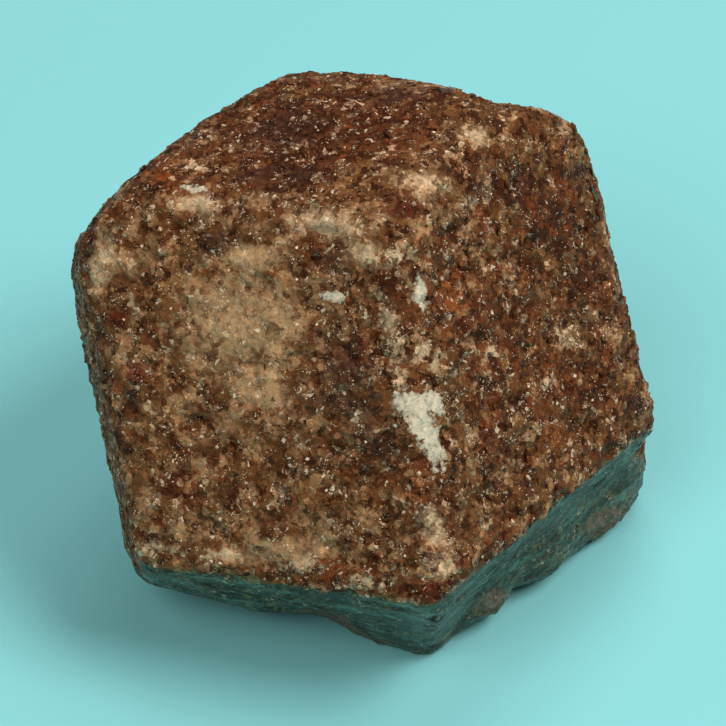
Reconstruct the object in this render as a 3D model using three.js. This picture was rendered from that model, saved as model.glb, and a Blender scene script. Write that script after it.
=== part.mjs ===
// A garnet crystal: a worn, slightly crooked rhombic dodecahedron that lies on one of its faces.
// Millimetres, +Z up. The origin is under the middle of the stone, on the plane that it rests on.
import * as THREE from 'three';
import { ConvexGeometry } from 'three/addons/geometries/ConvexGeometry.js';
import { TessellateModifier } from 'three/addons/modifiers/TessellateModifier.js';
import { mergeVertices } from 'three/addons/utils/BufferGeometryUtils.js';

// Every direction is given from the crystal's centre. Azimuth turns in degrees from the front (-Y)
// towards the right (+X), and tilt leans in degrees away from straight up.
// An ideal rhombic dodecahedron lying on a face has tilts of 0, 60, 90, 120 and 180 degrees.
// Distance is how far the face lies from the centre.
const FACES = [
  { name: 'top', azimuth: -105, tilt: 5, distance: 14.3 },
  { name: 'front left', azimuth: -18, tilt: 56, distance: 10.2 },
  { name: 'front right', azimuth: 54, tilt: 58, distance: 9.8 },
  { name: 'back right', azimuth: 160, tilt: 60, distance: 16.8 },
  { name: 'back left', azimuth: -134, tilt: 60, distance: 17.5 },
  { name: 'left', azimuth: -75, tilt: 94, distance: 16 },
  { name: 'right', azimuth: 111, tilt: 89, distance: 16 },
  { name: 'lower front left', azimuth: -13, tilt: 119, distance: 14.5 },
  { name: 'lower front right', azimuth: 50, tilt: 111, distance: 13.5 },
  { name: 'lower back right', azimuth: 163, tilt: 120, distance: 15 },
  { name: 'lower back left', azimuth: -126, tilt: 118, distance: 13.7 },
];

// Corners that broke or wore away, as flats.
const WORN_CORNERS = [
  { name: 'back of the top', azimuth: 178, tilt: 32, distance: 18.2 },
  { name: 'left shoulder', azimuth: -105, tilt: 60, distance: 19.2 },
  { name: 'right shoulder', azimuth: 115, tilt: 60, distance: 19 },
  { name: 'low left edge', azimuth: -35, tilt: 150, distance: 15.1 },
];

// The stone rests on this face, so it is the one that stays truly flat.
const REST_FACE = { name: 'underside', azimuth: 0, tilt: 180, distance: 13 };

// Soft lumps (height above 0) and hollows (height below 0), in millimetres.
// Spread is the angle, in degrees from the centre, over which each one fades.
const LUMPS = [
  { name: 'broken ledge, right end', azimuth: 94, tilt: 126, spread: 9, height: 1.7 },
  { name: 'broken ledge, middle', azimuth: 83, tilt: 132, spread: 8, height: 1.5 },
  { name: 'broken ledge, before the notch', azimuth: 66, tilt: 133, spread: 8, height: 1.5 },
  { name: 'broken ledge, front end', azimuth: 42, tilt: 136, spread: 5, height: 1.2 },
  { name: 'arch under the left edge', azimuth: -16, tilt: 135, spread: 9, height: -1.2 },
  { name: 'bulge on the right shoulder', azimuth: 126, tilt: 52, spread: 8, height: 0.8 },
  { name: 'dip beside that bulge', azimuth: 138, tilt: 38, spread: 5, height: -0.6 },
  { name: 'notch near the right corner', azimuth: 95, tilt: 91, spread: 4, height: -0.5 },
  { name: 'hollow in the back', azimuth: -165, tilt: 78, spread: 16, height: -0.7 },
  { name: 'missing back corner', azimuth: 172, tilt: 96, spread: 13, height: -1.4 },
  { name: 'hollow low on the left', azimuth: -98, tilt: 112, spread: 10, height: -0.6 },
];

// Rounding of the ridges: a higher power keeps a ridge sharper. Ridges above the crystal's middle
// are rubbed smooth, and those below it are still crisp. The change is made between these two drops
// below the middle, each the downward part of a direction of length 1.
const SOFT_RIDGE_POWER = 22;
const CRISP_RIDGE_POWER = 90;
const SOFT_ABOVE_DROP = -0.1;
const CRISP_BELOW_DROP = 0.2;

// Uneven growth: a gentle wave over the faces, whose crests wander by part of a wavelength.
const WAVE_HEIGHT = 0.12;
const WAVE_LENGTH = 6.5;
const WAVE_WANDER = 1.2;
const WANDER_LENGTH = 11;

// The faces are split into triangles with no edge longer than this.
const LONGEST_EDGE = 1.75;
const MOST_SPLITS = 12;

const PARALLEL_LIMIT = 1e-6;
const PLANE_TOLERANCE = 1e-6;
const MERGE_DISTANCE = 1e-4;

const STONE_COLOUR = 0x6b4c35;
const STONE_ROUGHNESS = 0.6;

function direction({ azimuth, tilt }) {
  const turn = THREE.MathUtils.degToRad(azimuth);
  const lean = THREE.MathUtils.degToRad(tilt);
  const level = Math.sin(lean);
  return new THREE.Vector3(level * Math.sin(turn), -level * Math.cos(turn), Math.cos(lean));
}

// Planes use three.js's sign: a point p is on the plane where normal . p + constant = 0.
function planeOf(face) {
  return new THREE.Plane(direction(face), -face.distance);
}

// The point where three planes meet, or null if they do not meet in one point.
function meetingPoint(a, b, c) {
  const bc = new THREE.Vector3().crossVectors(b.normal, c.normal);
  const ca = new THREE.Vector3().crossVectors(c.normal, a.normal);
  const ab = new THREE.Vector3().crossVectors(a.normal, b.normal);
  const volume = a.normal.dot(bc);
  if (Math.abs(volume) < PARALLEL_LIMIT) {
    return null;
  }
  return new THREE.Vector3()
    .addScaledVector(bc, -a.constant)
    .addScaledVector(ca, -b.constant)
    .addScaledVector(ab, -c.constant)
    .divideScalar(volume);
}

// The corners of the solid that the planes enclose: every meeting point that no plane cuts off.
function cornersOf(planes) {
  const corners = [];
  for (let i = 0; i < planes.length; i += 1) {
    for (let j = i + 1; j < planes.length; j += 1) {
      for (let k = j + 1; k < planes.length; k += 1) {
        const corner = meetingPoint(planes[i], planes[j], planes[k]);
        if (corner && planes.every((plane) => plane.distanceToPoint(corner) < PLANE_TOLERANCE)) {
          corners.push(corner);
        }
      }
    }
  }
  return corners;
}

// How far the surface lies from the centre along a direction, with its ridges rounded.
function wornRadius(outward, planes) {
  const low = THREE.MathUtils.smoothstep(-outward.z, SOFT_ABOVE_DROP, CRISP_BELOW_DROP);
  const power = THREE.MathUtils.lerp(SOFT_RIDGE_POWER, CRISP_RIDGE_POWER, low);
  let sum = 0;
  for (const plane of planes) {
    const facing = plane.normal.dot(outward);
    if (facing > 0) {
      sum += (facing / -plane.constant) ** power;
    }
  }
  return sum ** (-1 / power);
}

function lumpHeight(outward) {
  let height = 0;
  for (const lump of LUMPS) {
    const angle = THREE.MathUtils.radToDeg(outward.angleTo(direction(lump)));
    height += lump.height * Math.exp(-((angle / lump.spread) ** 2));
  }
  return height;
}

// A wave that runs along one axis, with crests that wander as the other axis changes.
function wave(along, across) {
  const wander = WAVE_WANDER * Math.sin((2 * Math.PI * across) / WANDER_LENGTH);
  return Math.sin((2 * Math.PI * along) / WAVE_LENGTH + wander);
}

function waveHeight(point) {
  const waves = wave(point.x, point.y) + wave(point.y, point.z) + wave(point.z, point.x);
  return (WAVE_HEIGHT * waves) / 3;
}

function crystalGeometry() {
  const planes = [...FACES, ...WORN_CORNERS].map(planeOf);
  const rest = planeOf(REST_FACE);
  const hull = new ConvexGeometry(cornersOf([...planes, rest]));
  hull.deleteAttribute('normal');

  const fine = new TessellateModifier(LONGEST_EDGE, MOST_SPLITS).modify(hull);
  const geometry = mergeVertices(fine, MERGE_DISTANCE);

  // Each point slides along its own line from the centre, and none goes below the rest face.
  const position = geometry.attributes.position;
  const point = new THREE.Vector3();
  const outward = new THREE.Vector3();
  for (let i = 0; i < position.count; i += 1) {
    point.fromBufferAttribute(position, i);
    outward.copy(point).normalize();
    let radius = wornRadius(outward, planes) + lumpHeight(outward) + waveHeight(point);
    const facingDown = rest.normal.dot(outward);
    if (facingDown > 0) {
      radius = Math.min(radius, -rest.constant / facingDown);
    }
    position.setXYZ(i, outward.x * radius, outward.y * radius, outward.z * radius);
  }

  geometry.computeBoundingBox();
  const box = geometry.boundingBox;
  geometry.translate(-(box.min.x + box.max.x) / 2, -(box.min.y + box.max.y) / 2, -box.min.z);
  geometry.computeVertexNormals();
  return geometry;
}

const stone = new THREE.MeshStandardMaterial({
  name: 'garnet',
  color: STONE_COLOUR,
  roughness: STONE_ROUGHNESS,
  metalness: 0,
  flatShading: true,
});

const crystal = new THREE.Mesh(crystalGeometry(), stone);
crystal.name = 'garnet_crystal';

const model = new THREE.Group();
model.add(crystal);

export default model;
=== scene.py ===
# Looks of the garnet crystal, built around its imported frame.
# Tables and shape functions work in millimetres; Blender objects are in metres.
import math
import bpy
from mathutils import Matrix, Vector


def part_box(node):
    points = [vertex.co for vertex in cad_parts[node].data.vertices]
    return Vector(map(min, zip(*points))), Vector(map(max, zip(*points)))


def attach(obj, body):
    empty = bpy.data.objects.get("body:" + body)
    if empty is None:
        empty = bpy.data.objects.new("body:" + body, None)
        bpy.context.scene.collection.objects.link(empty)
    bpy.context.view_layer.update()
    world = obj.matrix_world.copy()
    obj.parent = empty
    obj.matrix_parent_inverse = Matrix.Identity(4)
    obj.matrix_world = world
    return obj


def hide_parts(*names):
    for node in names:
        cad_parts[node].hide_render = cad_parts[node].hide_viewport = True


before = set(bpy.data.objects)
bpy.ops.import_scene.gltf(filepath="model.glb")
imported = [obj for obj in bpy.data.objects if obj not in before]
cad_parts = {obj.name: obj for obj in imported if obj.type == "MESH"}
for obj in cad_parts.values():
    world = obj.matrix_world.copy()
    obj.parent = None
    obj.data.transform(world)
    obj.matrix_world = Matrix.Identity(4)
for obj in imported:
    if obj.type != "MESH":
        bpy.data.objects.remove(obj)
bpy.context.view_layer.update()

from types import SimpleNamespace

import bmesh
import bpy
import numpy as np
from mathutils import Vector, noise
from mathutils.bvhtree import BVHTree

MM = 0.001
NODE = "garnet_crystal"

LOW, HIGH = (np.array(corner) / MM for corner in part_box(NODE))
CENTRE = (LOW + HIGH) / 2
HEIGHT = HIGH[2] - LOW[2]

# ---------------------------------------------------------------- shared geometry

# The skin is a grid on each side of a cube, blown out onto the solid: 6 * 128 * 128 * 2 triangles.
GRID_CUTS = 128


def cube_sphere(cuts):
    """Directions from the centre, the quads that join them, and a place on a flat map for each corner."""
    ids = {}
    quads = []
    places = []
    for side in range(6):
        axis, far = side % 3, side // 3
        across, along = (axis + 1) % 3, (axis + 2) % 3
        for i in range(cuts):
            for j in range(cuts):
                corners = []
                spots = []
                for di, dj in ((0, 0), (1, 0), (1, 1), (0, 1)):
                    key = [0, 0, 0]
                    key[axis], key[across], key[along] = far * cuts, i + di, j + dj
                    corners.append(ids.setdefault(tuple(key), len(ids)))
                    spots.append(map_place(axis, far, (i + di) / cuts, (j + dj) / cuts))
                quads.append(corners if far else corners[::-1])
                places.append(spots if far else spots[::-1])
    # The tangent spreads the grid evenly over the sphere.
    cube = np.tan((np.array(list(ids)) / cuts * 2 - 1) * math.pi / 4)
    return cube / np.linalg.norm(cube, axis=1, keepdims=True), np.array(quads), np.array(places)


def map_place(column, row, u, v):
    """A place in one of six panels, three across and two up, with a narrow gap round each."""
    gap = 0.01
    return (column + gap + u * (1 - 2 * gap)) / 3, (row + gap + v * (1 - 2 * gap)) / 2


def solid_tree():
    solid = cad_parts[NODE].data
    points = [v.co / MM for v in solid.vertices]
    return BVHTree.FromPolygons(points, [tuple(p.vertices) for p in solid.polygons])


def aim(azimuth, tilt):
    """Azimuth turns from the front (-Y) towards the right (+X); tilt leans from straight up."""
    turn, lean = math.radians(azimuth), math.radians(tilt)
    return Vector((math.sin(lean) * math.sin(turn), -math.sin(lean) * math.cos(turn), math.cos(lean)))


def hit(tree, direction):
    point, normal, _, _ = tree.ray_cast(Vector(CENTRE) + Vector(direction) * 100, -Vector(direction))
    return point, normal


def smoothstep(low, high, value):
    t = np.clip((value - low) / (high - low), 0, 1)
    return t * t * (3 - 2 * t)


def neighbour_mean(values, quads, count):
    """The mean of each point's grid neighbours."""
    total = np.zeros_like(values)
    number = np.zeros(count)
    for k in range(4):
        a, b = quads[:, k], quads[:, (k + 1) % 4]
        np.add.at(total, a, values[b])
        np.add.at(number, a, 1)
    return total / number.reshape(-1, *([1] * (values.ndim - 1)))


def smooth(values, quads, rounds, share=1.0):
    count = len(values)
    if np.ndim(share):
        share = share.reshape(-1, *([1] * (values.ndim - 1)))
    for _ in range(rounds):
        values = values + (neighbour_mean(values, quads, count) - values) * share
    return values


def normals_of(points, quads):
    """Area-weighted normals at the grid points."""
    a, b, c, d = (points[quads[:, k]] for k in range(4))
    face = np.cross(c - a, d - b)
    normal = np.zeros_like(points)
    for k in range(4):
        np.add.at(normal, quads[:, k], face)
    return normal / np.linalg.norm(normal, axis=1, keepdims=True)


def rough(points, size, octaves, seed):
    """Fractal noise from about -1 to 1, with features of that size in mm."""
    shift = Vector((seed, seed * 1.7, seed * 0.6))
    basis = "PERLIN_ORIGINAL"
    return np.array([noise.fractal(Vector(p) / size + shift, 1.0, 2.0, octaves, noise_basis=basis)
                     for p in points])


def tilted_flats(points, size, seed):
    """Heights of irregular cells of that size, each a flat that leans its own way."""
    shift = Vector((seed, seed * 1.3, seed * 0.4))
    height = np.empty(len(points))
    for i, p in enumerate(points):
        q = Vector(p) / size + shift
        cell = noise.voronoi(q)[1][0]
        lean = noise.cell_vector(cell * 7.3) - Vector((0.5, 0.5, 0.5))
        height[i] = (q - cell).dot(lean) + lean.z * 0.6
    return height


# ---------------------------------------------------------------- marks

# Each mark: kind, azimuth, tilt, half length, half width, turn of its length in degrees, strength.
# Azimuth and tilt are seen from the middle of the stone; turn is from +X along the surface.
# Places are in whole degrees. A millimetre on the stone is about four degrees.


def run_of(kind, start, end, count, length, width, turn, strength=1):
    """Marks at even steps from one place (azimuth, tilt) to another."""
    places = np.linspace(start, end, count)
    return [(kind, azimuth, tilt, length, width, turn, strength) for azimuth, tilt in places]


def tee(azimuth, tilt):
    """A white chip like a T, with its head across the middle ridge and its stem down the slope."""
    head = run_of("white", (azimuth - 3, tilt), (azimuth + 5, tilt + 2), 3, 1.0, 0.8, 0)
    stem = run_of("white", (azimuth, tilt + 5), (azimuth + 3, tilt + 13), 3, 1.4, 0.7, -75)
    return head + stem


# Pale ground along the ridges, which turns cream in its middle: azimuth, tilt, length, width, turn.
PALE_GROUND = [
    (-30, 20, 3.0, 1.4, -10),
    (0, 25, 2.0, 1.0, -25),
    (70, 15, 2.6, 1.0, 10),
    (115, 27, 1.7, 1.2, 0),
    (-80, 60, 2.3, 1.2, 70),
    (-80, 39, 2.2, 0.9, -5),
    (15, 92, 2.2, 1.1, -50),
]
CREAM_LENGTH, CREAM_WIDTH = 0.8, 0.7

# The middle ridge lies between these two places, and the front edge between these two.
RIDGE_TOP, RIDGE_FOOT = (8, 40), (15, 96)
EDGE_LEFT, EDGE_RIGHT = (-45, 103), (0, 102)

MARKS = [
    # Soft changes of the mixture, over most of a face.
    ("pale", -45, 55, 7.5, 7, 10, 0.9),
    ("pale", -80, 55, 3.5, 2.5, 70, 0.6),
    ("pale", 35, 20, 6, 3, 0, 0.3),
    ("pale", -30, 98, 7.5, 2.5, 5, 0.8),
    ("red", 60, 65, 10, 8, 0, 0.9),
    ("red", 40, 40, 3.5, 3, 10, 0.9),
    ("red", 20, 88, 4, 3, 60, 0.6),
    ("dark", -150, 22, 8.5, 5, -10, 1),
    ("dark", -98, 24, 4.5, 2, 5, 0.8),
    ("dark", 100, 58, 5, 4, 60, 1),
    ("dark", 160, 24, 6, 2.5, -10, 0.6),
    ("dark", 75, 95, 3.5, 3, 65, 0.7),
    ("dark", 104, 40, 2.5, 2, 20, 0.8),
    # The pale middle of the left face.
    ("bloom", -47, 51, 4.5, 4, 25, 1),
    ("bloom", -55, 37, 2.2, 1.5, 0, 0.9),
    ("bloom", -35, 66, 2.5, 1.7, -25, 1),
    # Cream patches over the shoulder, on the right face and beside the ridge.
    *run_of("cream", (-97, 37), (-125, 22), 3, 1.5, 0.5, -12, 0.9),
    ("cream", 90, 30, 1.5, 0.8, 50, 0.8),
    ("cream", 16, 27, 1.4, 0.7, 0, 0.8),
    ("cream", 80, 77, 1.3, 1, 25, 1),
    ("cream", 52, 63, 0.9, 0.6, 80, 0.9),
    ("cream", 65, 83, 0.9, 0.6, 0, 0.9),
    ("cream", 77, 106, 2.6, 0.6, -60, 0.7),
    *run_of("cream", (20, 52), (30, 61), 3, 0.9, 0.5, 45),
    # The vein down the middle ridge, the cream at its foot and along the front edge, where the cream is
    # partly pale ground and partly a painted highlight on the edge.
    *run_of("cream", RIDGE_TOP, (10, 58), 4, 1.3, 0.7, -70),
    *run_of("cream", (15, 90), RIDGE_FOOT, 2, 1.8, 0.8, -40),
    *run_of("cream", EDGE_LEFT, EDGE_RIGHT, 4, 2.1, 0.6, 5, 0.9),
    ("bloom", -20, 101, 6.5, 1, 5, 0.8),
    # White feldspar: the T and three flakes.
    *tee(15, 64),
    ("white", -16, 36, 0.9, 0.4, 0, 0.9),
    ("white", 26, 37, 1.2, 0.6, -80, 0.9),
    ("white", -86, 38, 1.2, 0.4, -20, 0.6),
    # Dark, purplish ground.
    ("smudge", -4, 65, 4.5, 2.3, -65, 0.75),
    ("smudge", -7, 56, 2, 1.8, 90, 1),
    ("smudge", 3, 75, 2, 1.7, 90, 1),
    ("smudge", -15, 66, 1.2, 1, 25, 0.9),
    ("smudge", -20, 28, 1.8, 1, -30, 1),
    ("smudge", -68, 40, 2.2, 0.9, 0, 0.9),
    ("smudge", 82, 100, 1.5, 1.1, 30, 0.9),
    ("smudge", -83, 16, 2.6, 1.3, 30, 0.9),
    ("smudge", -133, 26, 3.6, 1.8, 35, 1),
    ("smudge", -90, 24, 2.6, 1.2, 10, 0.9),
    ("smudge", 164, 27, 3.4, 1.2, -10, 0.7),
    ("smudge", 105, 41, 1.6, 1.4, 60, 0.8),
    ("smudge", -60, 80, 1.1, 1, 40, 0.8),
    # Rust and clear red garnet.
    ("orange", -94, 43, 2, 1.4, -60, 1),
    ("orange", 40, 40, 3, 2.6, 10, 0.5),
    ("orange", 60, 95, 2.2, 1.1, 0, 0.9),
    ("orange", 70, 84, 3.4, 2.8, 10, 0.45),
    ("orange", 12, 85, 1.6, 1, 60, 0.7),
    ("garnet", 34, 17, 1.6, 0.7, 10, 1),
    ("garnet", 12, 100, 1.1, 0.8, 5, 1),
    ("garnet", -62, 75, 0.9, 0.7, 5, 1),
    ("garnet", -45, 92, 1.2, 0.9, 5, 0.8),
    ("garnet", -71, 67, 1.4, 1.1, 80, 0.7),
]
for azimuth, tilt, length, width, turn in PALE_GROUND:
    MARKS.append(("bloom", azimuth, tilt, length, width, turn, 0.9))
    MARKS.append(("cream", azimuth, tilt, length * CREAM_LENGTH, width * CREAM_WIDTH, turn, 0.9))
TINTS = ("pale", "red", "dark")
PATCHES = ("white", "cream", "bloom")
SPOTS = ("smudge", "orange", "garnet")


def mark_reach(points, tree, mark):
    """1 at the middle of a mark, 0 at its outline, and below 0 outside."""
    _, azimuth, tilt, length, width, turn, _ = mark
    middle, normal = hit(tree, aim(azimuth, tilt))
    along = Vector((1, 0, 0)) - normal * normal.x
    along.normalize()
    across = normal.cross(along)
    spin = math.radians(turn)
    first = along * math.cos(spin) + across * math.sin(spin)
    second = across * math.cos(spin) - along * math.sin(spin)
    offset = points - np.array(middle)
    reach = (offset @ np.array(first) / length) ** 2
    reach += (offset @ np.array(second) / width) ** 2
    reach += (offset @ np.array(normal) / max(length, width)) ** 2
    return 1 - np.sqrt(reach)


def mark_fields(points, tree, kinds):
    """One column for each kind: soft tints add up, and outlined marks keep the nearest."""
    columns = []
    for kind in kinds:
        column = np.zeros(len(points)) if kind in TINTS else np.full(len(points), -1.0)
        for mark in MARKS:
            if mark[0] != kind:
                continue
            reach = mark_reach(points, tree, mark)
            if kind in TINTS:
                column += mark[-1] * smoothstep(-0.3, 1, reach)
            else:
                column = np.maximum(column, reach - (1 - mark[-1]) * 0.5)
        columns.append(np.clip(column, -1, 1))
    return np.stack(columns, 1)


# ---------------------------------------------------------------- the skin

# The broken ledges step down the lower right, from the front end to the back end.
LEDGE_FRONT, LEDGE_BACK = (45, 134), (82, 124)
# Broken ground: two patches on the ledges, the low left edge and the missing back corner.
BROKEN = [
    ("broken", 80, 129, 3.4, 1.2, -45, 1),
    ("broken", 36, 131, 1.8, 1.2, -45, 1),
    ("broken", -20, 138, 6, 1.6, 0, 1),
    ("broken", 172, 96, 5, 4, 0, 1),
]
# The smooth film also covers the ledges round that broken ground.
FILMED = run_of("filmed", LEDGE_FRONT, LEDGE_BACK, 3, 4.8, 2.8, -45)
# Points this close above the rest plane are laid flat on it.
REST_BAND = 0.02
# The skin lies this far inside the solid, so that the relief and the grains stay within its box.
INSET = 0.12


def share_of(marks, points, tree):
    share = np.zeros(len(points))
    for mark in marks:
        share = np.maximum(share, smoothstep(-0.15, 0.25, mark_reach(points, tree, mark)))
    return share


def skin_form(tree, directions, quads):
    """The skin's points and normals in mm, with how far each is under, broken and raised."""
    base = np.array([hit(tree, d)[0] for d in directions])

    # The solid's small flats are smoothed away, but less below the middle, where ridges are crisp.
    upper = smoothstep(0.3, 0.45, base[:, 2] / HEIGHT)
    base = smooth(base, quads, 10, 0.15 + 0.85 * upper)
    normal = normals_of(smooth(base, quads, 6), quads)
    ridge = np.einsum("ij,ij->i", base - smooth(base, quads, 40), normal)
    under = np.maximum(smoothstep(-0.1, -0.28, normal[:, 2]), share_of(FILMED, base, tree))
    broken = share_of(BROKEN, base, tree)

    lumps = rough(base, 5.0, 3, 3.1)
    pits = rough(base, 1.7, 3, 11.2)
    flat = tilted_flats(base, 0.95, 5.0)
    small_flat = tilted_flats(base, 0.5, 17.0)
    block_flat = tilted_flats(base, 3.2, 29.0)
    sugar = 0.14 * lumps + 0.16 * flat + 0.10 * small_flat - 0.32 * smoothstep(0.2, 0.62, pits)

    # Growth steps run level across the lower faces, and fade in and out.
    level = base[:, 2] + 0.9 * rough(base * [0.35, 0.35, 1], 2.2, 3, 7.7)
    step = np.abs((level / 1.15) % 1 - 0.5) * 2
    fade = smoothstep(-0.2, 0.4, rough(base, 3.0, 2, 23.0))
    steps = 0.12 * fade * smoothstep(0.35, 0.65, step) + 0.10 * lumps + 0.06 * flat + 0.04 * small_flat
    height = sugar * (1 - under) + steps * under

    chip = smoothstep(0.1, 0.35, ridge) * smoothstep(0.0, 0.5, rough(base, 1.3, 3, 19.5))
    height -= 0.35 * chip
    blocks = (0.35 - 0.15 * under) * block_flat + 0.16 * flat + 0.06 * small_flat
    height += broken * (blocks - steps * under)

    points = base + normal * (height - INSET)[:, None]
    points[base[:, 2] < LOW[2] + REST_BAND, 2] = LOW[2]
    # The skin is what shows in the gaps between grains, so it counts as hollow and takes painted shade,
    # except where they are sparse.
    relief = height / 0.3 - 0.3 * (1 - under * (1 - broken))
    return np.clip(points, LOW, HIGH), normal, under, broken, np.clip(relief, -1, 1)


def write_fields(mesh, tree, points, form, shade):
    """What the material reads at each point: tints, marks, form and a random shade."""
    fields = {
        "tint": mark_fields(points, tree, TINTS),
        "patch": mark_fields(points, tree, PATCHES),
        "spot": mark_fields(points, tree, SPOTS),
        "form": form,
        "shade": shade,
    }
    for name, values in fields.items():
        mesh.attributes.new(name, "FLOAT_VECTOR", "POINT").data.foreach_set(
            "vector", values.astype(np.float32).ravel())


def new_piece(name, points, faces, places):
    mesh = bpy.data.meshes.new(name)
    mesh.from_pydata((points * MM).tolist(), [], faces.tolist())
    mesh.uv_layers.new(name="OFBake").data.foreach_set("uv", places.astype(np.float32).ravel())
    piece = bpy.data.objects.new(name, mesh)
    bpy.context.scene.collection.objects.link(piece)
    return piece


# ---------------------------------------------------------------- grains on the skin

GRAIN_SHAPES = 24
GRAIN_CORNERS = 10
GRAIN_CANDIDATES = 42000
GRAIN_SPACING = 0.38
GRAIN_SIZE = 0.38
GRAIN_SIZE_SPREAD = 0.28
GRAIN_LEAN = 0.10
# No grain stands this close to the rest plane.
GRAIN_FLOOR = 0.3
# The flat map has this many squares a side, one for each grain, which fills this much of it.
MAP_CELLS = 100
MAP_FILL = 0.42


def grain_shapes(random):
    """Angular crystals: the hulls of a few points on a ball. Faces that point up come last."""
    shapes = []
    while len(shapes) < GRAIN_SHAPES:
        corners = random.normal(size=(GRAIN_CORNERS, 3))
        corners /= np.linalg.norm(corners, axis=1, keepdims=True)
        form = bmesh.new()
        for corner in corners:
            form.verts.new(corner)
        bmesh.ops.convex_hull(form, input=form.verts)
        bmesh.ops.triangulate(form, faces=form.faces)
        form.normal_update()
        form.verts.index_update()
        faces = sorted(form.faces, key=lambda face: face.normal.z)
        if len(form.verts) == GRAIN_CORNERS and len(faces) == 2 * GRAIN_CORNERS - 4:
            points = np.array([vertex.co for vertex in form.verts])
            shapes.append((points, [[vertex.index for vertex in face.verts] for face in faces]))
        form.free()
    return shapes


def spread_places(random, points, quads, spacing):
    """Random places on the quads, each with its nearest grid point, none closer than its own spacing."""
    corners = points[quads]
    area = np.linalg.norm(np.cross(corners[:, 2] - corners[:, 0], corners[:, 3] - corners[:, 1]), axis=1)
    chosen = random.choice(len(quads), GRAIN_CANDIDATES, p=area / area.sum())
    u, v = random.random((2, GRAIN_CANDIDATES, 1))
    a, b, c, d = (corners[chosen, k] for k in range(4))
    spots = (a * (1 - u) + b * u) * (1 - v) + (d * (1 - u) + c * u) * v
    cell = spacing.max()
    taken = {}
    kept = []
    for i, (spot, quad) in enumerate(zip(spots, chosen)):
        near = spacing[quads[quad, 0]]
        key = tuple((spot // cell).astype(int))
        around = [j for dx in (-1, 0, 1) for dy in (-1, 0, 1) for dz in (-1, 0, 1)
                  for j in taken.get((key[0] + dx, key[1] + dy, key[2] + dz), ())]
        if around and (((spots[around] - spot) ** 2).sum(1) < near * near).any():
            continue
        taken.setdefault(key, []).append(i)
        kept.append(i)
    return spots[kept], quads[chosen[kept], 0]


def crystal_grains(tree, points, normals, quads, form):
    """Small crystals that stand out of the skin, closely set on the upper faces and sparse below."""
    random = np.random.default_rng(11)
    under, broken, _ = form.T
    calm = under * (1 - 0.3 * broken)
    patches = mark_fields(points, tree, PATCHES)
    soft = np.maximum(smoothstep(-0.1, 0.4, patches[:, 0]), smoothstep(-0.1, 0.5, patches[:, 2]))
    spots, nearest = spread_places(random, points, quads, GRAIN_SPACING * (1 + 2.2 * calm + 0.5 * soft))
    above = spots[:, 2] > LOW[2] + GRAIN_FLOOR
    spots, nearest = spots[above], nearest[above]
    shapes = grain_shapes(random)

    count = len(spots)
    sizes = GRAIN_SIZE * np.exp(GRAIN_SIZE_SPREAD * random.normal(size=count))
    sizes *= 1 - 0.35 * soft[nearest]
    kinds = random.integers(0, GRAIN_SHAPES, count)
    shades = random.random((count, 3))
    all_points, all_faces, all_places, all_forms = [], [], [], []
    for n in range(count):
        k = nearest[n]
        up = normals[k] + random.normal(size=3) * GRAIN_LEAN
        up /= np.linalg.norm(up)
        side = np.cross(up, random.normal(size=3))
        side /= np.linalg.norm(side)
        ahead = np.cross(up, side)
        shape, faces = shapes[kinds[n]]
        stretch = [random.uniform(0.8, 1.3), random.uniform(0.7, 1.0), random.uniform(0.24, 0.38)]
        local = shape * np.array(stretch) * sizes[n]
        lift = sizes[n] * (-0.13 - 0.14 * calm[k] - 0.08 * soft[k])
        placed = spots[n] + local @ np.stack([side, ahead, up]) + up * lift
        # How high each corner stands above the skin; the material paints shade on its low parts.
        rise = np.clip((local[:, 2] + lift) / 0.3, -1, 1)
        all_points.append(placed)
        all_faces += [[len(shape) * n + i for i in face] for face in faces]
        corner = np.array([n % MAP_CELLS, n // MAP_CELLS]) + 0.5 + shape[:, :2] * MAP_FILL
        all_places.append((corner / MAP_CELLS)[np.array(faces)])
        cover = [np.full(len(shape), under[k]), np.full(len(shape), broken[k]), rise]
        all_forms.append(np.stack(cover, 1))
    placed = np.clip(np.concatenate(all_points), LOW, HIGH)
    forms = np.concatenate(all_forms)
    piece = new_piece("crystal_grains", placed, np.array(all_faces), np.concatenate(all_places))
    write_fields(piece.data, tree, placed, forms, np.repeat(shades, GRAIN_CORNERS, 0))
    return piece


def crystal_pieces():
    tree = solid_tree()
    directions, quads, places = cube_sphere(GRID_CUTS)
    points, normals, *form = skin_form(tree, directions, quads)
    form = np.stack(form, 1)
    skin = new_piece("crystal_skin", points, quads, places)
    normals = normals_of(smooth(points, quads, 2), quads)
    skin.data.polygons.foreach_set("use_smooth", [True] * len(quads))
    write_fields(skin.data, tree, points, form, np.full((len(points), 3), 0.5))
    return skin, crystal_grains(tree, points, normals, quads, form)


# ---------------------------------------------------------------- material

def srgb(red, green, blue):
    """A colour from 0-255 screen values, as linear RGBA."""
    def linear(value):
        value /= 255
        return value / 12.92 if value <= 0.04045 else ((value + 0.055) / 1.055) ** 2.4
    return (linear(red), linear(green), linear(blue), 1)


BROWN = srgb(110, 70, 38)
RED_BROWN = srgb(102, 52, 25)
TAN = srgb(166, 126, 88)
OLIVE = srgb(108, 78, 44)
DARK = srgb(58, 22, 6)
PURPLE = srgb(58, 34, 30)
CREAM = srgb(212, 184, 148)
FLECK = srgb(178, 146, 120)
AQUA_REFLECTION = srgb(92, 134, 118)
WHITE = srgb(224, 214, 190)
BLOOM = srgb(186, 148, 108)
ORANGE = srgb(138, 70, 26)
GARNET = srgb(86, 26, 12)
SLATE = srgb(13, 28, 24)
STEEL = srgb(40, 70, 60)
MOSS = srgb(72, 64, 36)
ASH = srgb(110, 104, 94)
OLIVE_RIM_HIGHLIGHT = srgb(134, 132, 84)
# The colour of the painted glints and highlights.
PAINTED_GLINT = srgb(255, 228, 198)

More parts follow.
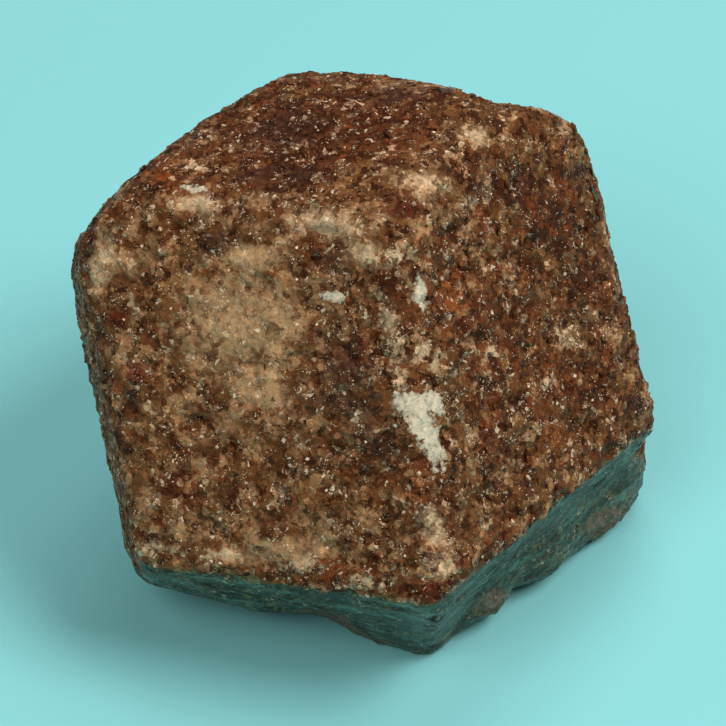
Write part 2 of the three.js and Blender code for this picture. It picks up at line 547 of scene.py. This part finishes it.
# Sizes in mm: the small cells with one colour each, those that may hold a fleck, and the painted glints.
CELL = 0.3
FLECK_CELL = 0.9
SPARK_CELL = 0.55
# How far each small cell's colours come from its own middle, from 0 to 1.
CELL_PULL = 0.65
# The height in mm of the finest relief.
BUMP_DEPTH = 0.13


class Graph:
    """Short calls for building a material's nodes. A socket or a plain value can go into any input."""

    def __init__(self, name):
        self.material = bpy.data.materials.new(name)
        self.material.use_nodes = True
        self.tree = self.material.node_tree
        self.tree.nodes.clear()

    def add(self, kind, inputs=None, **settings):
        node = self.tree.nodes.new(kind)
        for key, value in settings.items():
            setattr(node, key, value)
        for key, value in (inputs or {}).items():
            if isinstance(value, bpy.types.NodeSocket):
                self.tree.links.new(value, node.inputs[key])
            else:
                node.inputs[key].default_value = value
        return node

    def math(self, operation, *values, clamp=False):
        inputs = dict(enumerate(values))
        return self.add("ShaderNodeMath", inputs, operation=operation, use_clamp=clamp).outputs[0]

    def times(self, first, second):
        return self.math("MULTIPLY", first, second)

    def vector(self, operation, *values):
        node = self.add("ShaderNodeVectorMath", operation=operation)
        for key, value in enumerate(values):
            target = node.inputs["Scale"] if operation == "SCALE" and key == 1 else node.inputs[key]
            if isinstance(value, bpy.types.NodeSocket):
                self.tree.links.new(value, target)
            else:
                target.default_value = value
        return node.outputs["Value" if operation == "DOT_PRODUCT" else "Vector"]

    def total(self, first, *others):
        for other in others:
            first = self.math("ADD", first, other)
        return first

    def rest_of(self, value):
        """One minus the value."""
        return self.math("SUBTRACT", 1.0, value)

    def around_half(self, value, amount):
        """How far a value lies above or below a half, scaled."""
        return self.times(self.math("SUBTRACT", value, 0.5), amount)

    def shifted(self, place, x, y, z):
        return self.vector("ADD", place, (x, y, z))

    def noise_node(self, place, size, detail, roughness):
        inputs = {"Vector": place, "Scale": 1 / size, "Detail": detail, "Roughness": roughness}
        return self.add("ShaderNodeTexNoise", inputs)

    def noise(self, place, size, detail=3, roughness=0.55):
        return self.noise_node(place, size, detail, roughness).outputs["Fac"]

    def warped(self, place, size, amount):
        """The place, pushed about by noise of that size by up to about half of that amount."""
        push = self.noise_node(place, size, 2, 0.5).outputs["Color"]
        push = self.vector("SUBTRACT", push, (0.5, 0.5, 0.5))
        return self.vector("ADD", place, self.vector("SCALE", push, amount))

    def parts(self, vector):
        return self.add("ShaderNodeSeparateXYZ", {0: vector}).outputs

    def cells(self, place, size):
        return self.add("ShaderNodeTexVoronoi", {"Vector": place, "Scale": 1 / size})

    def ramp(self, value, low, high):
        """0 below low, 1 above high, smooth between. Low may be above high."""
        inputs = {"Value": value, "From Min": low, "From Max": high}
        return self.add("ShaderNodeMapRange", inputs, interpolation_type="SMOOTHSTEP").outputs["Result"]

    def mix(self, first, second, share):
        node = self.add("ShaderNodeMix", data_type="RGBA")
        for key, value in ((0, share), (6, first), (7, second)):
            if isinstance(value, bpy.types.NodeSocket):
                self.tree.links.new(value, node.inputs[key])
            else:
                node.inputs[key].default_value = value
        return node.outputs[2]

    def split(self, name):
        return self.parts(self.add("ShaderNodeAttribute", attribute_name=name).outputs["Vector"])


def shared_nodes(g):
    """The places, point attributes and noises that several parts of the material use."""
    n = SimpleNamespace()
    n.place = g.vector("SCALE", g.add("ShaderNodeTexCoord").outputs["Object"], 1 / MM)
    crumbly = g.warped(n.place, 0.22, 0.2)
    cell = g.cells(crumbly, CELL)
    n.cell_colour = cell.outputs["Color"]
    n.cell_shade, n.cell_pick, n.cell_tone = g.parts(n.cell_colour)
    # Each small cell takes most of its colour from its own middle, so the mixture has crisp grains.
    n.offset = g.vector("SUBTRACT", crumbly, cell.outputs["Position"])
    pulled = g.vector("SUBTRACT", n.place, g.vector("SCALE", n.offset, CELL_PULL))
    n.bent = g.warped(pulled, 1.1, 0.9)

    n.pale, n.red, n.dark = g.split("tint")
    n.white, n.cream, n.bloom = g.split("patch")
    n.smudge, n.orange, n.garnet = g.split("spot")
    n.under, n.broken, n.relief = g.split("form")
    n.own_shade, n.own_redness, n.own_paleness = g.split("shade")

    n.coarse = g.noise(n.bent, 2.4, 3, 0.6)
    n.middle = g.noise(g.shifted(n.bent, 31, 7, 12), 1.1, 4, 0.65)
    n.other = g.noise(g.shifted(n.bent, -12, 41, 8), 0.8, 4, 0.68)
    n.third = g.noise(g.shifted(n.bent, 17, -23, 5), 0.9, 3, 0.65)
    n.fine = g.noise(g.shifted(n.place, 5, 19, 3), 0.3, 3, 0.65)
    n.ragged = g.math("SUBTRACT", g.total(n.fine, n.middle), 1.0)

    # The smooth film on the lower faces, with its painted teal reflection: whole at the front, worn
    # through in places at the back.
    n.front = g.ramp(g.parts(n.place)[1], 6.0, -4.0)
    worn = g.ramp(g.total(n.coarse, g.times(n.ragged, 0.3), g.times(n.front, 0.3)), 0.44, 0.52)
    n.broken = g.ramp(g.total(n.broken, g.times(n.ragged, 2.4)), 0.3, 0.7)
    calm = g.ramp(g.total(n.under, g.times(n.ragged, 1.1)), 0.35, 0.62)
    n.calm = g.times(g.times(calm, worn), g.rest_of(n.broken))
    n.dusty = g.times(n.broken, n.under)
    n.quiet = g.math("MAXIMUM", n.calm, n.dusty)
    # Ground outside the pale marks.
    n.clean = g.rest_of(g.ramp(g.math("MAXIMUM", n.white, n.bloom), -0.1, 0.5))

    pock = g.noise(g.shifted(n.place, -8, 3, 44), 0.42, 3, 0.6)
    n.pock = g.ramp(g.total(pock, g.around_half(n.other, 0.9)), 0.62, 0.72)
    # Lens-shaped streaks and thin lines that run level, for the film.
    n.streak = g.noise(g.vector("MULTIPLY", n.bent, (0.4, 0.4, 2.2)), 1.3, 5, 0.7)
    level = g.vector("MULTIPLY", g.shifted(n.bent, 6, 2, 33), (0.3, 0.3, 3.5))
    n.line = g.noise(level, 0.8, 4, 0.7)
    # How far a place lies up the tilted flat of its own small cell.
    lean = g.vector("SUBTRACT", n.cell_colour, (0.5, 0.5, 0.5))
    n.tilted = g.times(g.vector("DOT_PRODUCT", n.offset, lean), 1 / CELL)
    return n


def patch(g, n, colour, tone, field, softness, raggedness, share):
    """An outlined mark with a ragged edge."""
    reach = g.total(field, g.times(n.ragged, raggedness), g.around_half(n.cell_tone, 0.5))
    return g.mix(colour, tone, g.times(g.ramp(reach, 0.0, softness), share))


def flecks(g, n):
    """Where the pinkish grey flecks are."""
    fleck = g.cells(g.warped(n.place, 0.4, 0.5), FLECK_CELL)
    size = g.total(g.parts(fleck.outputs["Color"])[0], g.around_half(n.third, 1.2))
    size = g.times(g.ramp(size, 0.78, 1.1), 0.6)
    inside = g.ramp(g.math("SUBTRACT", fleck.outputs["Distance"], size), 0.0, -0.16)
    return g.times(g.times(inside, g.ramp(n.fine, 0.38, 0.54)), 0.65)


def stone_mixture(g, n):
    """The stone's own colours, grain by grain, with its marks."""
    redness = g.total(n.coarse, g.times(n.dark, 0.04), g.times(n.red, 0.13), g.times(n.pale, -0.06),
                      g.around_half(n.own_redness, 0.07))
    colour = g.mix(BROWN, RED_BROWN, g.ramp(redness, 0.42, 0.62))
    colour = g.mix(colour, OLIVE, g.times(g.ramp(n.third, 0.50, 0.64), 0.7))
    paleness = g.total(n.middle, g.times(n.pale, 0.08), g.times(n.dark, -0.13), g.times(n.red, -0.03),
                       g.around_half(n.own_paleness, 0.09))
    colour = g.mix(colour, TAN, g.times(g.ramp(paleness, 0.48, 0.62), 0.85))
    colour = patch(g, n, colour, BLOOM, n.bloom, 0.7, 0.7, 0.85)
    colour = patch(g, n, colour, ORANGE, n.orange, 0.7, 1.5, 0.75)
    colour = patch(g, n, colour, CREAM, n.cream, 0.9, 1.9, 0.8)

    # Dark garnet, mostly kept out of the pale marks.
    deep = g.total(n.other, g.times(n.dark, 0.09), g.times(n.red, 0.02), g.times(n.pale, -0.03),
                   g.around_half(n.own_shade, -0.06))
    share = g.total(0.35, g.times(n.clean, 0.5))
    colour = g.mix(colour, DARK, g.times(g.ramp(deep, 0.52, 0.60), share))
    colour = patch(g, n, colour, PURPLE, n.smudge, 0.7, 1.6, 0.72)
    colour = patch(g, n, colour, GARNET, n.garnet, 0.5, 1.2, 0.85)
    colour = g.mix(colour, FLECK, flecks(g, n))

    # Some small cells are pale or dark, and each has its own shade.
    pick = g.total(n.cell_pick, g.around_half(n.middle, 1.8))
    colour = g.mix(colour, CREAM, g.times(g.ramp(pick, 0.98, 1.12), 0.45))
    share = g.total(0.15, g.times(n.clean, 0.25))
    colour = g.mix(colour, DARK, g.times(g.ramp(n.cell_tone, 0.2, 0.08), share))
    mottle = g.ramp(g.noise(g.shifted(n.bent, 3, 61, -9), 1.7, 3, 0.6), 0.36, 0.64)
    shade = g.total(0.20, g.times(n.cell_shade, 0.56), g.times(n.fine, 0.3), g.times(n.own_shade, 0.32),
                    g.times(mottle, 0.46))
    colour = g.add("ShaderNodeHueSaturation", {"Color": colour, "Value": shade}).outputs[0]
    return patch(g, n, colour, WHITE, n.white, 0.4, 0.9, 0.9)


def add_film_and_reflection(g, n, colour):
    """The green-grey film on the smooth lower faces, whose teal tint and aqua streaks are partly a
    painted reflection of the aqua floor, and duller ground where it has broken away.
    """
    film = g.mix(SLATE, STEEL, g.ramp(n.streak, 0.40, 0.54))
    # Brighter aqua streaks: a painted reflection of the floor.
    film = g.mix(film, AQUA_REFLECTION, g.times(g.ramp(n.streak, 0.50, 0.62), 0.7))
    film = g.mix(film, MOSS, g.times(g.ramp(n.third, 0.52, 0.6), 0.6))
    film = g.mix(film, SLATE, g.times(g.ramp(n.coarse, 0.50, 0.62), 0.55))
    # Olive specks along the lines, partly olive flecks and partly painted glints.
    speckle_glints = g.ramp(g.total(n.line, g.around_half(n.third, 0.5)), 0.40, 0.32)
    film = g.mix(film, OLIVE_RIM_HIGHLIGHT, g.times(speckle_glints, 0.5))
    film = g.mix(film, SLATE, g.times(g.ramp(n.line, 0.55, 0.62), 0.8))
    # The film and its painted teal reflection are strongest at the front.
    colour = g.mix(colour, film, g.times(n.calm, g.total(0.4, g.times(n.front, 0.53))))
    # An olive rim where the film ends, partly olive ground and partly a painted highlight along that
    # edge.
    rim_highlight = g.times(g.times(n.calm, g.rest_of(n.calm)), g.times(n.front, 2.4))
    colour = g.mix(colour, OLIVE_RIM_HIGHLIGHT, rim_highlight)
    dull = g.mix(ASH, MOSS, g.times(g.ramp(n.third, 0.46, 0.60), 0.7))
    return g.mix(colour, dull, g.times(n.dusty, 0.85))


def add_painted_hollow_shade(g, n, colour):
    """Painted shade: hollows and small pocks are darker."""
    hollow_shade = g.times(g.ramp(n.relief, 0.1, -1.0), g.ramp(n.other, 0.40, 0.56))
    painted_shade = g.times(g.math("MAXIMUM", hollow_shade, n.pock), g.rest_of(n.quiet))
    return g.mix(colour, DARK, g.times(painted_shade, g.total(0.12, g.times(n.clean, 0.55))))


def add_painted_glints(g, n, colour):
    """Painted highlights in the colour: slivers of light on the raised sides of some cells, tiny glints,
    and a few larger ones.
    """
    painted_sliver = g.ramp(g.total(n.cell_pick, g.around_half(n.third, 1.8)), 0.76, 0.98)
    painted_sliver = g.times(g.ramp(n.tilted, 0.13, 0.19), painted_sliver)
    painted_dots = g.noise(g.shifted(n.place, 9, 2, 27), 0.10, 1, 0.5)
    painted_dots = g.total(painted_dots, g.around_half(n.third, 0.55))
    spark = g.cells(g.warped(n.place, 0.12, 0.16), SPARK_CELL)
    reach = g.times(g.ramp(g.parts(spark.outputs["Color"])[0], 0.80, 1.0), 0.22)
    large = g.ramp(g.math("SUBTRACT", spark.outputs["Distance"], reach), 0.0, -0.06)
    painted_glint = g.math("MAXIMUM", g.times(g.ramp(painted_dots, 0.70, 0.76), 0.75), g.times(large, 0.9))
    painted_glint = g.math("MAXIMUM", painted_glint, g.times(painted_sliver, 0.55))
    return g.mix(colour, PAINTED_GLINT, g.times(painted_glint, g.rest_of(g.times(n.quiet, 0.5))))


def fine_relief(g, n):
    """Small tilted flats on the stone, and streaks on the film."""
    sugar = g.total(g.times(n.tilted, 1.7), g.times(n.fine, 0.9), g.times(n.cell_shade, 0.25),
                    g.times(n.pock, -0.6))
    film = g.total(g.times(n.streak, 1.8), g.times(n.line, -1.2))
    height = g.total(g.times(sugar, g.rest_of(n.calm)), g.times(film, n.calm))
    inputs = {"Height": height, "Strength": 1.0, "Distance": BUMP_DEPTH * MM}
    return g.add("ShaderNodeBump", inputs).outputs["Normal"]


def garnet_material():
    g = Graph("garnet")
    n = shared_nodes(g)
    colour = add_film_and_reflection(g, n, stone_mixture(g, n))
    colour = add_painted_glints(g, n, add_painted_hollow_shade(g, n, colour))

    gloss = g.times(g.ramp(n.own_paleness, 0.5, 1.0), 0.35)
    gloss = g.total(gloss, g.times(g.ramp(n.cell_pick, 0.6, 1.0), 0.25))
    roughness = g.total(0.62, g.times(gloss, -1.0), g.times(n.calm, -0.3))
    shader = g.add("ShaderNodeBsdfPrincipled", {
        "Base Color": colour,
        "Roughness": g.math("MAXIMUM", roughness, 0.12),
        "Normal": fine_relief(g, n),
        "IOR": 1.75,
        "Specular IOR Level": 0.13,
        "Specular Tint": (1.0, 0.7, 0.45, 1),
    })
    g.add("ShaderNodeOutputMaterial", {"Surface": shader.outputs[0]})
    return g.material


# ---------------------------------------------------------------- stage

FLOOR_COLOUR = srgb(140, 218, 226)
FLOOR_REACH = 2.0
# Each lamp: name, azimuth, elevation, distance and size in metres, watts, colour.
LAMPS = [
    ("window", 75, 55, 0.45, 0.26, 1.42, (1.0, 0.95, 0.88)),
    ("sky", 170, 60, 0.5, 0.32, 0.72, (1.0, 0.97, 0.92)),
    ("fill", -35, 50, 0.6, 0.36, 1.36, (1.0, 0.96, 0.9)),
]
ROOM_COLOUR = (1.0, 0.94, 0.87, 1)
ROOM_STRENGTH = 0.11


def stage_floor():
    g = Graph("floor")
    shader = g.add("ShaderNodeBsdfPrincipled", {"Base Color": FLOOR_COLOUR, "Roughness": 0.9})
    g.add("ShaderNodeOutputMaterial", {"Surface": shader.outputs[0]})
    r = FLOOR_REACH
    corners = [(-r, -r, 0), (r, -r, 0), (r, r, 0), (-r, r, 0)]
    mesh = bpy.data.meshes.new("floor")
    mesh.from_pydata(corners, [], [(0, 1, 2, 3)])
    mesh.materials.append(g.material)
    floor = bpy.data.objects.new("floor", mesh)
    bpy.context.scene.collection.objects.link(floor)


def place_on(obj, azimuth, elevation, distance, target):
    """Puts a camera or a light on a sphere about the target, and turns it to face the target."""
    direction = aim(azimuth, 90 - elevation)
    obj.location = target + direction * distance
    obj.rotation_euler = direction.to_track_quat("Z", "Y").to_euler()
    bpy.context.scene.collection.objects.link(obj)


def soft_light(name, azimuth, elevation, distance, size, power, colour, target):
    lamp = bpy.data.lights.new(name, "AREA")
    lamp.shape = "DISK"
    lamp.size = size
    lamp.energy = power
    lamp.color = colour
    place_on(bpy.data.objects.new(name, lamp), azimuth, elevation, distance, target)


def stage_lights(target):
    for lamp in LAMPS:
        soft_light(*lamp, target)
    world = bpy.data.worlds.new("room")
    world.use_nodes = True
    background = world.node_tree.nodes["Background"]
    background.inputs["Color"].default_value = ROOM_COLOUR
    background.inputs["Strength"].default_value = ROOM_STRENGTH
    bpy.context.scene.world = world


VIEW_ELEVATION = 42
VIEW_DISTANCE = 0.22
# The width in metres that the picture takes in at that distance.
VIEW_WIDTH = 0.0427
VIEW_TARGET = Vector((-0.18, -0.72, 13.0)) * MM
SENSOR = 36


def stage_camera():
    data = bpy.data.cameras.new("camera")
    data.sensor_width = SENSOR
    data.lens = SENSOR * VIEW_DISTANCE / VIEW_WIDTH
    data.clip_start = 0.01
    camera = bpy.data.objects.new("camera", data)
    place_on(camera, 0, VIEW_ELEVATION, VIEW_DISTANCE, VIEW_TARGET)
    bpy.context.scene.camera = camera


bpy.context.scene.view_settings.view_transform = "Standard"
stage_camera()
stage_floor()
stage_lights(VIEW_TARGET)

garnet = garnet_material()
for piece in crystal_pieces():
    piece.data.materials.append(garnet)
    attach(piece, "root")
    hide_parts(NODE)
